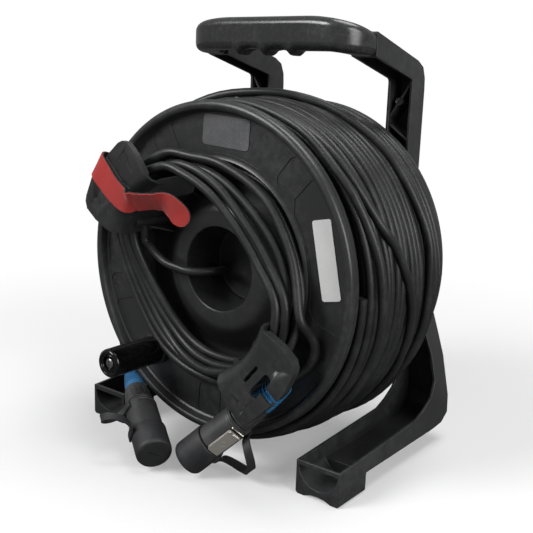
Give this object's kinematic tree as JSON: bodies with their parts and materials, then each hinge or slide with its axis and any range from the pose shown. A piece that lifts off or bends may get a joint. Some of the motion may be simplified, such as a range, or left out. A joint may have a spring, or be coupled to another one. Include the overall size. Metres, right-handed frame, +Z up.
{
  "type": "fibre optic cable reel",
  "caption": "Portable cable reel: plastic drum on a one-sided rear frame with carrying grip, winding knob, lead brackets and two capped round connectors.",
  "frame": {"origin": "on the floor under the middle of the drum", "axes": "+Z up, the drum turns about +Y, its front with the knob and brackets faces -Y"},
  "size_m": [0.3369, 0.2941, 0.4115],
  "materials": {
    "drum_plastic": "charcoal black moulded plastic with a fine grain",
    "frame_plastic": "black moulded plastic, slightly rougher than the drum",
    "gloss_plastic": "smooth glossy black plastic",
    "cable_jacket": "dark grey cable jacket, satin",
    "soft_rubber": "black rubber, matt",
    "connector_shell": "black moulded connector shell",
    "insert_grey": "grey insert that holds the fibre ends",
    "boot_blue": "blue ribbed cable boot",
    "latch_nickel": "satin nickel-plated latch",
    "zinc_steel": "zinc-plated steel",
    "bush_bronze": "plain sintered bronze",
    "label_grey": "blank grey name plate",
    "label_white": "blank white writing card",
    "strap_red": "red twill-woven hook and loop strap",
    "strap_black": "black loop pile"
  },
  "bodies": {
    "frame": {"left_side_frame": "frame_plastic", "right_side_frame": "frame_plastic", "frame_hub": "frame_plastic", "frame_bolt_left_1": "zinc_steel", "frame_bolt_left_2": "zinc_steel", "frame_bolt_right_1": "zinc_steel", "frame_bolt_right_2": "zinc_steel", "handle_grip": "gloss_plastic", "grip_screw_left": "zinc_steel", "grip_screw_right": "zinc_steel", "axle": "zinc_steel", "axle_nut": "zinc_steel", "axle_washer": "zinc_steel", "axle_spacer": "zinc_steel", "brake_pad": "soft_rubber"},
    "drum": {"front_flange": "drum_plastic", "rear_flange": "drum_plastic", "core_barrel": "drum_plastic", "hub_dish": "drum_plastic", "hub_cup": "drum_plastic", "port_grommet": "soft_rubber", "bracket_a": "drum_plastic", "bracket_b": "drum_plastic", "bracket_a_screw_1": "zinc_steel", "bracket_a_screw_2": "zinc_steel", "bracket_b_screw_1": "zinc_steel", "bracket_b_screw_2": "zinc_steel", "cable_winding": "cable_jacket", "front_bush": "bush_bronze", "rear_bush": "bush_bronze", "knob_spindle": "drum_plastic", "knob_screw": "zinc_steel", "label_plate": "label_grey", "label_card": "label_white", "strap": "strap_red", "strap_loop": "strap_black", "inner_lead_coil": "cable_jacket", "inner_lead_start": "cable_jacket", "inner_lead_end": "cable_jacket", "outer_lead": "cable_jacket", "outer_plug_boot": "boot_blue", "outer_plug_nut": "connector_shell", "outer_plug_body": "connector_shell", "outer_plug_fibre_insert": "insert_grey", "outer_plug_lanyard": "soft_rubber", "inner_plug_boot": "boot_blue", "inner_plug_nut": "connector_shell", "inner_plug_body": "connector_shell", "inner_plug_fibre_insert": "insert_grey", "inner_plug_lanyard": "soft_rubber"},
    "knob": {"knob_sleeve": "gloss_plastic"},
    "brake": {"brake_knob": "gloss_plastic"},
    "outer_cap": {"outer_plug_cap": "soft_rubber"},
    "inner_cap": {"inner_plug_cap": "soft_rubber"},
    "outer_latch": {"outer_plug_latch": "latch_nickel"},
    "inner_latch": {"inner_plug_latch": "latch_nickel"}
  },
  "joints": [
    {"name": "drum_spin", "type": "hinge", "parent": "frame", "child": "drum", "pos_m": [0, 0, 0.181], "axis": [0, 1, 0], "continuous": true},
    {"name": "knob_spin", "type": "hinge", "parent": "drum", "child": "knob", "pos_m": [-0.0735, -0.11, 0.0885], "axis": [0, 1, 0], "continuous": true},
    {"name": "brake_turn", "type": "hinge", "parent": "frame", "child": "brake", "pos_m": [0.048, 0.128, 0.181], "axis": [0, 1, 0], "range_deg": [0, 270]},
    {"name": "outer_cap_pull", "type": "slide", "parent": "drum", "child": "outer_cap", "axis": [0.8032, -0.5111, -0.3061], "range_m": [0, 0.03]},
    {"name": "inner_cap_pull", "type": "slide", "parent": "drum", "child": "inner_cap", "axis": [-0.6561, -0.3186, -0.6841], "range_m": [0, 0.002]},
    {"name": "outer_latch_press", "type": "slide", "parent": "drum", "child": "outer_latch", "axis": [-0.8032, 0.5111, 0.3061], "range_m": [0, 0.0015], "stiffness_N_per_m": 300},
    {"name": "inner_latch_press", "type": "slide", "parent": "drum", "child": "inner_latch", "axis": [0.6561, 0.3186, 0.6841], "range_m": [0, 0.0015], "stiffness_N_per_m": 300}
  ]
}
